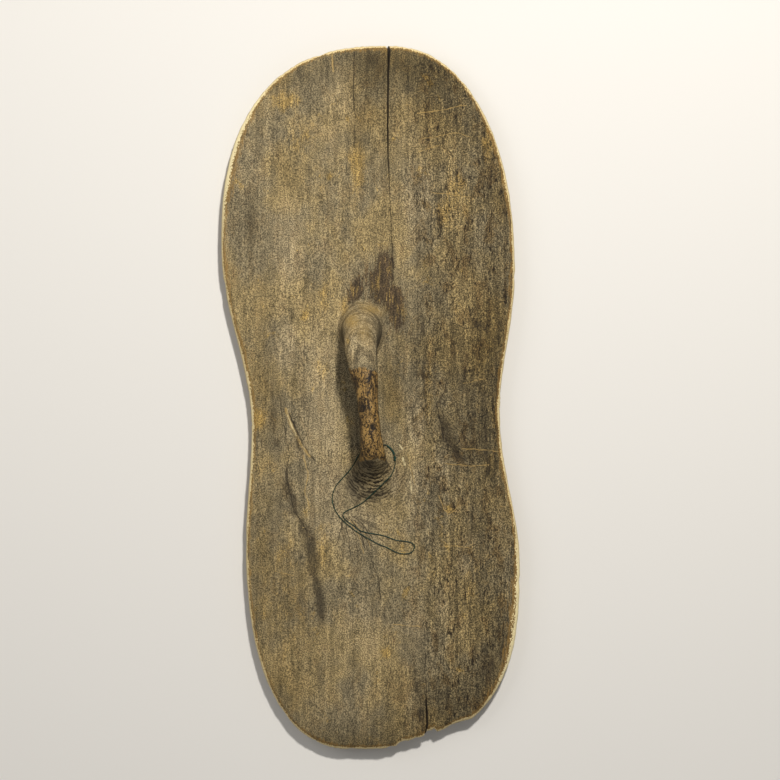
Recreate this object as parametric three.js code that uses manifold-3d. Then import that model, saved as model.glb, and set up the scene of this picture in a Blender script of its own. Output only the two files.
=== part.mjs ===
// A carved wooden shield, lying on its front with its grip up. The board and the grip are cut from one block, so
// they are one solid. A thin green thread is looped through the hand gap and tied beside the grip's lower root.
// Millimetres. +Z is up, +Y runs along the shield's length towards its broader end, and the origin lies under the
// middle of the board, on the surface that it rests on.
import * as THREE from 'three';
import { mergeVertices } from 'three/addons/utils/BufferGeometryUtils.js';
import Module from 'manifold-3d';

const wasm = await Module();
wasm.setup();

// ---- Driving dimensions ----------------------------------------------------------------------------------------

const LENGTH = 900;
const HALF_LENGTH = LENGTH / 2;

// How far each side stands out from the middle line, and how far up the board it does so. A side runs from the top
// edge round a superellipse quarter to its upper swell, down a wave to the waist and the lower swell, and round
// another quarter into the bottom edge. A higher roundness is a squarer corner.
const TOP_CENTRE_X = 22;
const BOTTOM_CENTRE_X = -24;
const LEFT_SIDE = {
  direction: -1,
  topRoundness: 2.5,
  upper: { out: 191, y: 195 },
  waist: { out: 152, y: -40 },
  lower: { out: 159, y: -190 },
  bottomRoundness: 2.28,
};
const RIGHT_SIDE = {
  direction: 1,
  topRoundness: 2.2,
  upper: { out: 184.5, y: 160 },
  waist: { out: 165, y: -21 },
  lower: { out: 191, y: -218 },
  bottomRoundness: 2.75,
};

// Where the bottom edge is broken away: the middle of each loss, half its width and its depth.
const EDGE_LOSSES = [
  { x: 78, halfWidth: 52, depth: 8 },
  { x: 77, halfWidth: 9, depth: 6 },
  { x: 112, halfWidth: 20, depth: 2.5 },
  { x: 40, halfWidth: 8, depth: 2.5 },
];

// The board's thickness, how far the back dishes, and how far the front curves up towards the rim.
const BOARD_BACK_Z = 22;
const BACK_DISH = 3;
const FRONT_FLAT_SHARE = 0.7;
const FRONT_RISE = 13;
const FRONT_RISE_POWER = 1.8;
const RIM_BEVEL_DROP = 4;
const RIM_ROUND = 2.5;

// Rings of the board's surface, each as a share of the way from the middle to the outline.
const BACK_RINGS = [0, 0.06, 0.12, 0.18, 0.24, 0.31, 0.4, 0.52, 0.66, 0.8, 0.91, 0.96];
const FRONT_RINGS = [0.985, 0.93, 0.85, FRONT_FLAT_SHARE, 0.35, 0];
const AROUND = 144;
const OUTLINE_SAMPLES = 60;

// The low swellings that carry the grip's two roots into the board.
const ROOT_SWELLS = [
  { x: -12, y: 84, reachX: 42, reachY: 52, height: 3.5 },
  { x: 0, y: -105, reachX: 44, reachY: 42, height: 3 },
];

// Sections of the grip, from the upper root over the bar to the lower root. Each lies between a point on the side
// that faces the board and a point on the side that faces away from it, both as y and z. It is an ellipse, as wide
// as twice halfWidth, with its middle at x.
const GRIP_SECTIONS = [
  { x: -12, halfWidth: 34, inner: [42, 9], outer: [127, 9] },
  { x: -12, halfWidth: 32, inner: [44, 22], outer: [125, 22] },
  { x: -12, halfWidth: 27, inner: [50, 31], outer: [117, 33] },
  { x: -12, halfWidth: 24.5, inner: [54, 39], outer: [109, 47] },
  { x: -12, halfWidth: 22.5, inner: [54.5, 47], outer: [98, 61] },
  { x: -12, halfWidth: 21, inner: [51, 54], outer: [84, 73] },
  { x: -11.5, halfWidth: 20, inner: [44, 59], outer: [66, 81.5] },
  { x: -9, halfWidth: 18.5, inner: [34, 61], outer: [42, 85.5] },
  { x: -4, halfWidth: 14, inner: [8, 61.5], outer: [8, 86.5] },
  { x: -1.5, halfWidth: 12.8, inner: [-23, 61.5], outer: [-23, 86.5] },
  { x: 1, halfWidth: 13.6, inner: [-45, 60.5], outer: [-47, 86] },
  { x: 2.2, halfWidth: 15, inner: [-58, 57.5], outer: [-64, 84.5] },
  { x: 3, halfWidth: 16, inner: [-66, 51.5], outer: [-76, 79.5] },
  { x: 3, halfWidth: 17, inner: [-70.5, 44], outer: [-84.5, 70] },
  { x: 3, halfWidth: 18.5, inner: [-73, 37], outer: [-92, 56] },
  { x: 2.5, halfWidth: 21, inner: [-74, 31.5], outer: [-101, 43] },
  { x: 1.5, halfWidth: 25, inner: [-75, 27], outer: [-112, 34] },
  { x: 0.5, halfWidth: 29, inner: [-75.5, 24.5], outer: [-124, 27.5] },
  { x: 0, halfWidth: 33, inner: [-76, 21], outer: [-134, 21] },
  { x: 0, halfWidth: 34, inner: [-76, 9], outer: [-136, 9] },
];
const STEPS_PER_SECTION = 2;
const GRIP_SIDES = 22;

// Drying cracks that go right through the board: points down the middle of each, with half its width there.
const TOP_CRACK = [
  { x: 24, y: 455, half: 2.6 },
  { x: 23, y: 430, half: 1.9 },
  { x: 22, y: 405, half: 1.4 },
  { x: 22, y: 356, half: 1.2 },
  { x: 22.5, y: 318, half: 1 },
  { x: 24, y: 283, half: 0.6 },
  { x: 26, y: 242, half: 0.45 },
  { x: 28, y: 198, half: 0.3 },
  { x: 28.5, y: 176, half: 0 },
];
const BOTTOM_CRACK = [
  { x: 71, y: -376, half: 0 },
  { x: 71.5, y: -392, half: 0.9 },
  { x: 72, y: -410, half: 1.2 },
  { x: 72, y: -460, half: 1.5 },
];
const CRACK_FLOOR_Z = -10;
const CRACK_DEPTH = 60;

// The thread: its thickness, the gap that keeps it off the wood, and the way it lies on the board. It starts below
// the knot, crosses the lower root's foot, folds back on itself in one narrow bight on the board, and comes back
// round the root's left side and through the hand gap to the knot.
const THREAD_DIAMETER = 1.25;
const SURFACE_GAP = 0.45;
const THREAD_SIDES = 8;
const THREAD_STEPS = 80;
const THREAD_ROUTE = [
  [31.6, -82.4], [30.6, -90], [26.6, -99], [20, -106], [13.7, -112], [2.7, -123], [-10.8, -135],
  [-24, -142], [-32, -146], [-35, -150.5], [-32.5, -156], [-23, -163], [-12.5, -170.5], [-1, -173.6],
  [8.8, -175], [21, -178], [33, -182.5], [48, -184.5], [55, -188], [56, -193], [52, -198.4], [44, -200],
  [33, -198], [21, -191.8], [9, -187], [-3.5, -180], [-15.5, -173], [-26.5, -165], [-37, -155.5],
  [-44, -146], [-48.5, -134], [-48, -123], [-44, -113], [-36.5, -104], [-27.5, -94], [-20.5, -84],
  [-16, -75], [-9, -68], [3, -63.5], [14, -60.5], [22, -62], [28, -68], [30.6, -73.4],
];

// The stretch of the hand gap that the thread lies in, and the heights that the wood is felt from.
const HAND_GAP = { x: 2, y: -62, halfWidth: 26, halfLength: 16, z: 40 };
const ABOVE_ALL_Z = 200;
const DOWN = new THREE.Vector3(0, 0, -1);
const FEELERS = 8;

// The knot between the thread's two ends.
const KNOT = { x: 31.2, y: -78, halfWidth: 2.3, halfLength: 3.6, halfHeight: 1.6 };

// ---- Helpers ---------------------------------------------------------------------------------------------------

// A wave's share of the way from its crest, 0, to its trough, 1.
function waveShare(t) {
  return (1 - Math.cos(Math.PI * t)) / 2;
}

// A geometry's positions only, with its shared vertices merged, so that it is a closed body.
function closed(geometry) {
  geometry.deleteAttribute('normal');
  geometry.deleteAttribute('uv');
  return mergeVertices(geometry, 1e-4);
}

function toSolid(geometry) {
  const body = closed(geometry);
  return new wasm.Manifold(new wasm.Mesh({
    numProp: 3,
    vertProperties: new Float32Array(body.attributes.position.array),
    triVerts: new Uint32Array(body.index.array),
  }));
}

function toGeometry(solid) {
  const mesh = solid.getMesh();
  const geometry = new THREE.BufferGeometry();
  geometry.setAttribute('position', new THREE.BufferAttribute(mesh.vertProperties, 3));
  geometry.setIndex(new THREE.BufferAttribute(mesh.triVerts, 1));
  geometry.computeVertexNormals();
  return geometry;
}

// ---- Outline ---------------------------------------------------------------------------------------------------

// A point on one side of the outline, at t from 0 at the top edge's middle to 4 at the bottom edge's middle.
function sidePoint(side, t) {
  const { direction, upper, waist, lower } = side;
  if (t <= 1) {
    return cornerPoint(side, t * Math.PI / 2, TOP_CENTRE_X, upper, 1, side.topRoundness);
  }
  if (t >= 3) {
    return cornerPoint(side, (4 - t) * Math.PI / 2, BOTTOM_CENTRE_X, lower, -1, side.bottomRoundness);
  }
  const [from, to] = t < 2 ? [upper, waist] : [waist, lower];
  const share = t < 2 ? t - 1 : t - 2;
  const out = from.out + (to.out - from.out) * waveShare(share);
  return new THREE.Vector2(direction * out, from.y + (to.y - from.y) * share);
}

// A point on a superellipse quarter between an end's middle, at angle 0, and a side's swell, at a quarter turn.
function cornerPoint(side, angle, centreX, swell, end, roundness) {
  const reachX = side.direction * swell.out - centreX;
  const reachY = end * HALF_LENGTH - swell.y;
  return new THREE.Vector2(
    centreX + reachX * Math.sin(angle) ** (2 / roundness),
    swell.y + reachY * Math.cos(angle) ** (2 / roundness),
  );
}

// How far the bottom edge is broken back at x.
function edgeLoss(x) {
  let loss = 0;
  for (const { x: middle, halfWidth, depth } of EDGE_LOSSES) {
    const q = Math.abs(x - middle) / halfWidth;
    loss += q < 1 ? depth * (1 - q ** 4) ** 2 : 0;
  }
  return loss;
}

// The outline as evenly spaced points, counter-clockwise seen from above, starting at the left.
function outlinePoints() {
  const samples = [];
  for (let i = 0; i < 4 * OUTLINE_SAMPLES; i++) {
    samples.push(sidePoint(LEFT_SIDE, i / OUTLINE_SAMPLES));
  }
  for (let i = 4 * OUTLINE_SAMPLES; i > 0; i--) {
    samples.push(sidePoint(RIGHT_SIDE, i / OUTLINE_SAMPLES));
  }
  for (const p of samples) {
    if (p.y < LEFT_SIDE.lower.y - 100) p.y += edgeLoss(p.x);
  }
  const start = samples.reduce((best, p, i) => (p.x < samples[best].x ? i : best), 0);
  const ring = [...samples.slice(start), ...samples.slice(0, start + 1)];
  const line = new THREE.CurvePath();
  for (let i = 0; i + 1 < ring.length; i++) {
    line.add(new THREE.LineCurve(ring[i], ring[i + 1]));
  }
  return Array.from({ length: AROUND }, (_, i) => line.getPointAt(i / AROUND));
}

// ---- Board -----------------------------------------------------------------------------------------------------

function backZ(x, y, share) {
  let z = BOARD_BACK_Z + BACK_DISH * share ** 2;
  for (const swell of ROOT_SWELLS) {
    const q = ((x - swell.x) / swell.reachX) ** 2 + ((y - swell.y) / swell.reachY) ** 2;
    z += swell.height * Math.exp(-q);
  }
  return z;
}

function frontZ(share) {
  const q = Math.max(0, share - FRONT_FLAT_SHARE) / (1 - FRONT_FLAT_SHARE);
  return FRONT_RISE * q ** FRONT_RISE_POWER;
}

// The board, as a sphere whose rows become rings of the back, the rim and the front.
function boardSolid() {
  const rim = outlinePoints();
  const rimTop = BOARD_BACK_Z + BACK_DISH - RIM_BEVEL_DROP;
  const rows = [
    ...BACK_RINGS.map((share) => ({ share, z: (x, y) => backZ(x, y, share) })),
    { share: 1, z: () => rimTop },
    { share: 1, z: () => FRONT_RISE + RIM_ROUND },
    ...FRONT_RINGS.map((share) => ({ share, z: () => frontZ(share) })),
  ];
  const geometry = new THREE.SphereGeometry(1, AROUND, rows.length - 1);
  const position = geometry.attributes.position;
  rows.forEach((row, j) => {
    for (let i = 0; i <= AROUND; i++) {
      const edge = rim[i % AROUND];
      const x = edge.x * row.share;
      const y = edge.y * row.share;
      position.setXYZ(j * (AROUND + 1) + i, x, y, row.z(x, y));
    }
  });
  return toSolid(geometry);
}

// ---- Grip ------------------------------------------------------------------------------------------------------

// A smooth line through one measure of every section, as a function of the share of the way along the grip.
function alongGrip(measure) {
  const line = new THREE.CatmullRomCurve3(GRIP_SECTIONS.map((s) => new THREE.Vector3(...measure(s))));
  return (share) => line.getPoint(share);
}

// The grip, as a cylinder whose rings are stretched between the sections' inner and outer points.
function gripSolid() {
  const innerAt = alongGrip((s) => [s.x, ...s.inner]);
  const outerAt = alongGrip((s) => [s.x, ...s.outer]);
  const widthAt = alongGrip((s) => [s.halfWidth, 0, 0]);
  const steps = STEPS_PER_SECTION * (GRIP_SECTIONS.length - 1);
  const geometry = new THREE.CylinderGeometry(1, 1, 1, GRIP_SIDES, steps);
  const position = geometry.attributes.position;
  for (let i = 0; i < position.count; i++) {
    const share = 0.5 - position.getY(i);
    const p = innerAt(share).lerp(outerAt(share), (1 + position.getZ(i)) / 2);
    p.x += widthAt(share).x * position.getX(i);
    position.setXYZ(i, p.x, p.y, p.z);
  }
  return toSolid(geometry);
}

// ---- Cracks ----------------------------------------------------------------------------------------------------

function crackSolid(points) {
  const left = points.map((p) => new THREE.Vector2(p.x - p.half, p.y));
  const right = points.filter((p) => p.half > 0).map((p) => new THREE.Vector2(p.x + p.half, p.y));
  const shape = new THREE.Shape([...left, ...right.reverse()]);
  const geometry = new THREE.ExtrudeGeometry(shape, { depth: CRACK_DEPTH, bevelEnabled: false });
  geometry.translate(0, 0, CRACK_FLOOR_Z);
  return toSolid(geometry);
}

// ---- Thread ----------------------------------------------------------------------------------------------------

// The height of the wood under x, y, seen from above, or from inside the hand gap under the bar.
function woodZ(wood, x, y) {
  const inGap = Math.abs(x - HAND_GAP.x) < HAND_GAP.halfWidth && Math.abs(y - HAND_GAP.y) < HAND_GAP.halfLength;
  const from = new THREE.Vector3(x, y, inGap ? HAND_GAP.z : ABOVE_ALL_Z);
  return new THREE.Raycaster(from, DOWN).intersectObject(wood)[0].point.z;
}

// The height of the middle of a ball of that radius that lies on the wood at x, y.
function lyingZ(wood, x, y, radius) {
  let z = woodZ(wood, x, y) + radius;
  for (const share of [0.5, 0.95]) {
    for (let i = 0; i < FEELERS; i++) {
      const angle = 2 * Math.PI * i / FEELERS;
      const reach = share * radius;
      const under = woodZ(wood, x + reach * Math.cos(angle), y + reach * Math.sin(angle));
      z = Math.max(z, under + Math.sqrt(radius ** 2 - reach ** 2));
    }
  }
  return z;
}

function threadGeometry(wood) {
  const radius = THREAD_DIAMETER / 2;
  const points = THREAD_ROUTE.map(([x, y]) => new THREE.Vector3(x, y, 0));
  const flat = new THREE.CatmullRomCurve3(points, false, 'centripetal');
  const lying = flat.getSpacedPoints(2 * THREAD_STEPS).map(
    (p) => new THREE.Vector3(p.x, p.y, lyingZ(wood, p.x, p.y, radius + SURFACE_GAP)),
  );
  const path = new THREE.CatmullRomCurve3(lying, false, 'centripetal');
  const section = new THREE.Shape();
  section.absarc(0, 0, radius, 0, 2 * Math.PI);
  return closed(new THREE.ExtrudeGeometry(section, {
    steps: THREAD_STEPS,
    curveSegments: THREAD_SIDES / 2,
    extrudePath: path,
  }));
}

function knotGeometry(wood) {
  const geometry = new THREE.SphereGeometry(1, 12, 8);
  geometry.scale(KNOT.halfWidth, KNOT.halfLength, KNOT.halfHeight);
  geometry.translate(KNOT.x, KNOT.y, lyingZ(wood, KNOT.x, KNOT.y, KNOT.halfHeight + SURFACE_GAP));
  return closed(geometry);
}

// ---- Assembly --------------------------------------------------------------------------------------------------

const weatheredWood = new THREE.MeshStandardMaterial({ color: 0x87785a, roughness: 0.85, metalness: 0 });
const greenThread = new THREE.MeshStandardMaterial({ color: 0x1f4a3c, roughness: 0.6, metalness: 0 });
const greenKnot = new THREE.MeshStandardMaterial({ color: 0x17382f, roughness: 0.65, metalness: 0 });

const carved = boardSolid()
  .add(gripSolid())
  .subtract(crackSolid(TOP_CRACK))
  .subtract(crackSolid(BOTTOM_CRACK));
const shield = new THREE.Mesh(toGeometry(carved), weatheredWood);
shield.name = 'shield';

const thread = new THREE.Mesh(threadGeometry(shield), greenThread);
thread.name = 'tag_thread';

const knot = new THREE.Mesh(knotGeometry(shield), greenKnot);
knot.name = 'thread_knot';

const part = new THREE.Group();
part.add(shield, thread, knot);

export default part;
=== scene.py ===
"""A carved wooden shield, lying on its front with its grip up, and the thread that is tied to the grip.

The board and the grip are one piece of wood. The board is a fine sheet laid over the outline, and the grip is
lofted through its sections. The two are joined, and then the wood is carved, cracked and worn.
"""

from __future__ import annotations

import logging
import math
from dataclasses import dataclass, field
from enum import Enum
from typing import Iterable

import bmesh
import bpy
import numpy as np
from mathutils import Matrix, Vector, noise
from mathutils.bvhtree import BVHTree

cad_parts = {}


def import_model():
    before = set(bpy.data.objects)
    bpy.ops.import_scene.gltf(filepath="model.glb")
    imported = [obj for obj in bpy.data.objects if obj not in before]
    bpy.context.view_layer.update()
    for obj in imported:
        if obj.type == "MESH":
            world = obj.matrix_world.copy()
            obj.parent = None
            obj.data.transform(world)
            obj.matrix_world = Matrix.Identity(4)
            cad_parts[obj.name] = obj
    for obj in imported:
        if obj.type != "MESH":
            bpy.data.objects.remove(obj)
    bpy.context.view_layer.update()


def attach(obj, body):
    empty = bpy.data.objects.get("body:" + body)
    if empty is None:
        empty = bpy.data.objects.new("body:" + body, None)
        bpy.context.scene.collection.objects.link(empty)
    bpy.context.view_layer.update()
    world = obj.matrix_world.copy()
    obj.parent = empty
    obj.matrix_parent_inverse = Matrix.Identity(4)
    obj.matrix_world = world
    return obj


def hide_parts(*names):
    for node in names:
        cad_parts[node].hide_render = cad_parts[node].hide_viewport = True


LOG = logging.getLogger("shield")
MM = 0.001
BODY = "root"
# How far drawn patches stray, the heights of the roots' feet and of the bar's foot, and a mask's top value.
WANDER = 2.2 * MM
ROOT_FEET = (18 * MM, 40 * MM)
BAR_FOOT = (50 * MM, 58 * MM)
MASK_TOP = 1.2

Colour = tuple[float, float, float]
Place = tuple[float, float, float]


# ---- Small helpers ----


def shade(red: int, green: int, blue: int) -> Colour:
    """A colour as the renderer wants it, from its everyday 0 to 255 values."""

    def linear(value: float) -> float:
        value /= 255.0
        return value / 12.92 if value <= 0.04045 else ((value + 0.055) / 1.055) ** 2.4

    return linear(red), linear(green), linear(blue)


def smooth_step(low: float, high: float, value: np.ndarray) -> np.ndarray:
    """Rises smoothly from 0 at low to 1 at high."""
    t = np.clip((value - low) / (high - low), 0.0, 1.0)
    return t * t * (3 - 2 * t)


def hump(distance: np.ndarray, reach: float) -> np.ndarray:
    """A bell that is 1 at distance 0 and dies away past reach."""
    return np.exp(-((distance / reach) ** 2))


def grainy(points: np.ndarray, pitch: Place, seed: float, octaves: int = 3) -> np.ndarray:
    """Smooth noise at each point.

    Args:
        points: Places in metres, one a row.
        pitch: The noise's usual size along each axis, in millimetres.
        seed: Moves the pattern, so that two fields differ.
        octaves: How many finer layers it has.

    Returns:
        One value a point, from about -1 to 1.
    """
    scaled = points / (np.array(pitch) * MM) + seed * 17.31
    return np.array([noise.fractal(Vector(p), 0.9, 2.0, octaves) for p in scaled])


def catmull_rom(knots: np.ndarray, share: np.ndarray) -> np.ndarray:
    """A smooth line through knots, at shares from 0 to 1 of the way along them."""
    last = len(knots) - 1
    at = np.clip(share, 0.0, 1.0) * last
    i = np.minimum(at.astype(int), last - 1)
    t = (at - i)[:, None]
    a, b = knots[np.maximum(i - 1, 0)], knots[i]
    c, d = knots[i + 1], knots[np.minimum(i + 2, last)]
    return 0.5 * (2 * b + (c - a) * t + (2 * a - 5 * b + 4 * c - d) * t**2 + (3 * b - a - 3 * c + d) * t**3)


def points_of(mesh: bpy.types.Mesh, what: str = "co") -> np.ndarray:
    """The places of a mesh's vertices, or another of their vectors, one a row."""
    flat = np.empty(len(mesh.vertices) * 3, np.float32)
    mesh.vertices.foreach_get(what, flat)
    return flat.reshape(-1, 3).astype(float)


def set_points(mesh: bpy.types.Mesh, points: np.ndarray) -> None:
    """Moves a mesh's vertices to those places."""
    mesh.vertices.foreach_set("co", points.astype(np.float32).ravel())
    mesh.update()


def add_object(name: str, data: bpy.types.ID) -> bpy.types.Object:
    """A mesh, a curve, a camera or a light as an object in the scene, at the origin."""
    made = bpy.data.objects.new(name, data)
    bpy.context.scene.collection.objects.link(made)
    return made


def mesh_of(name: str, bm: bmesh.types.BMesh) -> bpy.types.Mesh:
    """A finished bmesh as a smooth-shaded mesh; the bmesh is freed."""
    bmesh.ops.recalc_face_normals(bm, faces=bm.faces)
    mesh = bpy.data.meshes.new(name)
    bm.to_mesh(mesh)
    bm.free()
    mesh.polygons.foreach_set("use_smooth", [True] * len(mesh.polygons))
    return mesh


def mark_faces(mesh: bpy.types.Mesh, value: float) -> None:
    """Marks all of a mesh's faces as newly cut crack walls, 1, which are painted near black as shade, or as
    worn surface, 0.
    """
    walls = mesh.attributes.new(Mask.WALL.value, "FLOAT", "FACE")
    walls.data.foreach_set("value", np.full(len(mesh.polygons), value, np.float32))


class Mask(Enum):
    """The masks on the wood's mesh that its finish reads."""

    # The crack walls, painted near black as shade.
    WALL = "wall"
    RIM = "rim"
    EDGE = "edge"
    SHADE = "shade"
    ROUGH = "rough"
    PALE = "pale"
    GOLD = "gold"
    OCHRE = "ochre"
    STAIN = "stain"
    # Grime, and painted shade at the feet of the grip's roots.
    GRIME_AND_SHADE = "grime"
    ROOT = "root"
    ARC = "arc"
    # Painted shade on the grip's steep sides.
    STEEP_SHADE = "steep"
    FAN = "fan"
    PATINA = "patina"
    # Where the rim is most worn, and a painted highlight lies on it.
    BARE_AND_HIGHLIGHT = "fresh"


class Joinery(Enum):
    """The ways that one solid is worked into another."""

    UNION = "UNION"
    CUT = "DIFFERENCE"


def work_in(body: bpy.types.Object, tool: bpy.types.Object, way: Joinery) -> None:
    """Joins a tool solid to a body, or cuts it out of the body, and removes the tool.

    Args:
        body: The object whose mesh is changed.
        tool: A closed solid.
        way: Whether the tool is added or taken away.
    """
    modifier = body.modifiers.new(tool.name, "BOOLEAN")
    modifier.operation = way.value
    modifier.solver = "MANIFOLD"
    modifier.object = tool
    before = body.data
    evaluated = body.evaluated_get(bpy.context.evaluated_depsgraph_get())
    body.data = bpy.data.meshes.new_from_object(evaluated)
    body.modifiers.clear()
    bpy.data.meshes.remove(before)
    spent = tool.data
    bpy.data.objects.remove(tool)
    bpy.data.meshes.remove(spent)


# ---- Patches and lines on the wood ----


@dataclass(frozen=True)
class Smudge:
    """A soft patch on the wood: its middle and its reaches in millimetres, its strength and its turn."""

    x: float
    y: float
    reach_x: float
    reach_y: float
    strength: float = 1.0
    turn: float = 0.0

    def at(self, points: np.ndarray) -> np.ndarray:
        """How strong the patch is at each point."""
        dx, dy = points[:, 0] - self.x * MM, points[:, 1] - self.y * MM
        angle = math.radians(self.turn)
        across = dx * math.cos(angle) + dy * math.sin(angle)
        along = -dx * math.sin(angle) + dy * math.cos(angle)
        away = np.hypot(across / (self.reach_x * MM), along / (self.reach_y * MM))
        return self.strength * hump(away, 1.0)


def smudges(*rows: tuple[float, ...]) -> tuple[Smudge, ...]:
    """Patches from rows of x, y, reach_x and reach_y, and then strength and turn where they matter."""
    return tuple(Smudge(*row) for row in rows)


def strongest(patches: Iterable[Smudge], points: np.ndarray) -> np.ndarray:
    """The strongest of several patches at each point."""
    return np.maximum.reduce([patch.at(points) for patch in patches])


@dataclass(frozen=True)
class Line:
    """A furrow, a ridge or a thin mark: its bends, half width and depth in millimetres, and its grime."""

    bends: tuple[tuple[float, float], ...]
    half_width: float = 1.8
    depth: float = 0.6
    grime: float = 0.9

    def at(self, points: np.ndarray, breadth: float = 1.0) -> np.ndarray:
        """How near each point is to the line, 1 on it and 0 well away from it.

        Args:
            points: Places in metres, one a row.
            breadth: Widens the line.

        Returns:
            One value a point.
        """
        line = np.array(self.bends) * MM
        gap = np.full(len(points), np.inf)
        for start, end in zip(line, line[1:]):
            run = end - start
            share = np.clip(((points[:, :2] - start) @ run) / (run @ run), 0.0, 1.0)
            gap = np.minimum(gap, np.linalg.norm(points[:, :2] - start - share[:, None] * run, axis=1))
        return hump(gap, breadth * self.half_width * MM)


def lines(*rows: tuple) -> tuple[Line, ...]:
    """Lines from rows of half a width, then a depth and a grime where they matter, and then the bends."""
    made = []
    for row in rows:
        bends = tuple(part for part in row if isinstance(part, tuple))
        made.append(Line(bends, *row[: len(row) - len(bends)]))
    return tuple(made)


def wandering(points: np.ndarray, reach: float, seed: float) -> np.ndarray:
    """Points shifted a little sideways, so that what is drawn on them comes out uneven.

    Args:
        points: Places in metres, one a row.
        reach: The most that they shift, in metres.
        seed: Moves the pattern.

    Returns:
        The shifted places.
    """
    shifted = points.copy()
    shifted[:, 0] += reach * grainy(points, (11, 17, 11), seed, 2)
    shifted[:, 1] += 2 * reach * grainy(points, (13, 19, 13), seed + 1, 2)
    return shifted


FURROWS = lines(
    (3.4, 0.9, 0.95, (85, 0), (86, -14), (90, -39), (94, -55), (105, -64), (112, -74), (122, -80)),
    (1.8, 0.5, 0.9, (148, -39), (147, -57), (148, -73), (151, -83), (150, -96), (146, -105)),
    (1.7, 0.4, 0.8, (139, 93), (149, 83), (156, 74), (163, 66)),
    (3.6, 0.3, 0.6, (-129, 14), (-126, -20), (-123, -45), (-119, -62)),
    (1.7, 0.7, 0.9, (-99, -31), (-95, -48), (-92, -61), (-82, -75)),
    (1.7, 0.4, 0.8, (-82, -91), (-73, -93), (-67, -102)),
    (1.9, 0.7, 0.95, (-107, -95), (-101, -127), (-96, -146), (-87, -159)),
    (1.5, 0.4, 0.6, (-112, -112), (-104, -141), (-99, -152)),
    (4.2, 0.5, 0.85, (-87, -159), (-80, -174), (-74, -196)),
    (2, 0.4, 0.6, (-75, -321), (-68, -345), (-64, -367)),
    (2, 0.4, 0.5, (-12, -344), (-29, -378), (-47, -401)),
    (2.6, 0.4, 0.7, (57, -352), (62, -385), (68, -424)),
    (3, 0.4, 0.7, (152, -344), (168, -322), (181, -300)),
    (2.2, 0.4, 0.5, (62, 210), (58, 160), (61, 118)),
    (2.6, 0.5, 0.65, (68, 100), (64, 62), (70, 20), (66, -18)),
    (2.4, 0.5, 0.65, (96, 78), (101, 40), (96, 6)), (2.2, 0.5, 0.6, (124, 60), (120, 22), (127, -14)),
    (1.5, 0.3, 0.8, (28.5, 176), (30, 150), (33, 120)),
)


# ---- The outline of the board ----


@dataclass(frozen=True)
class Swell:
    """A place on a side, as its distance out from the middle line and its height up the board."""

    out: float
    y: float


@dataclass(frozen=True)
class Side:
    """One side of the outline, from a squared-off end round a swell, in to the waist and out again."""

    direction: int
    top_roundness: float
    upper: Swell
    waist: Swell
    lower: Swell
    bottom_roundness: float

    def wave(self, y: np.ndarray) -> np.ndarray:
        """How far out the side is at y, between its two swells."""
        above = y >= self.waist.y
        swell_out = np.where(above, self.upper.out, self.lower.out)
        swell_y = np.where(above, self.upper.y, self.lower.y)
        share = np.clip((y - self.waist.y) / (swell_y - self.waist.y), 0.0, 1.0)
        return self.waist.out + (swell_out - self.waist.out) * (1 - np.cos(np.pi * share)) / 2


@dataclass(frozen=True)
class EdgeLoss:
    """A stretch of the bottom edge that is broken away."""

    x: float
    half_width: float
    depth: float

    def at(self, x: np.ndarray) -> np.ndarray:
        """How deep the loss is at x."""
        q = np.clip(np.abs(x - self.x) / self.half_width, 0.0, 1.0)
        return self.depth * (1 - q**4) ** 2


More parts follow.
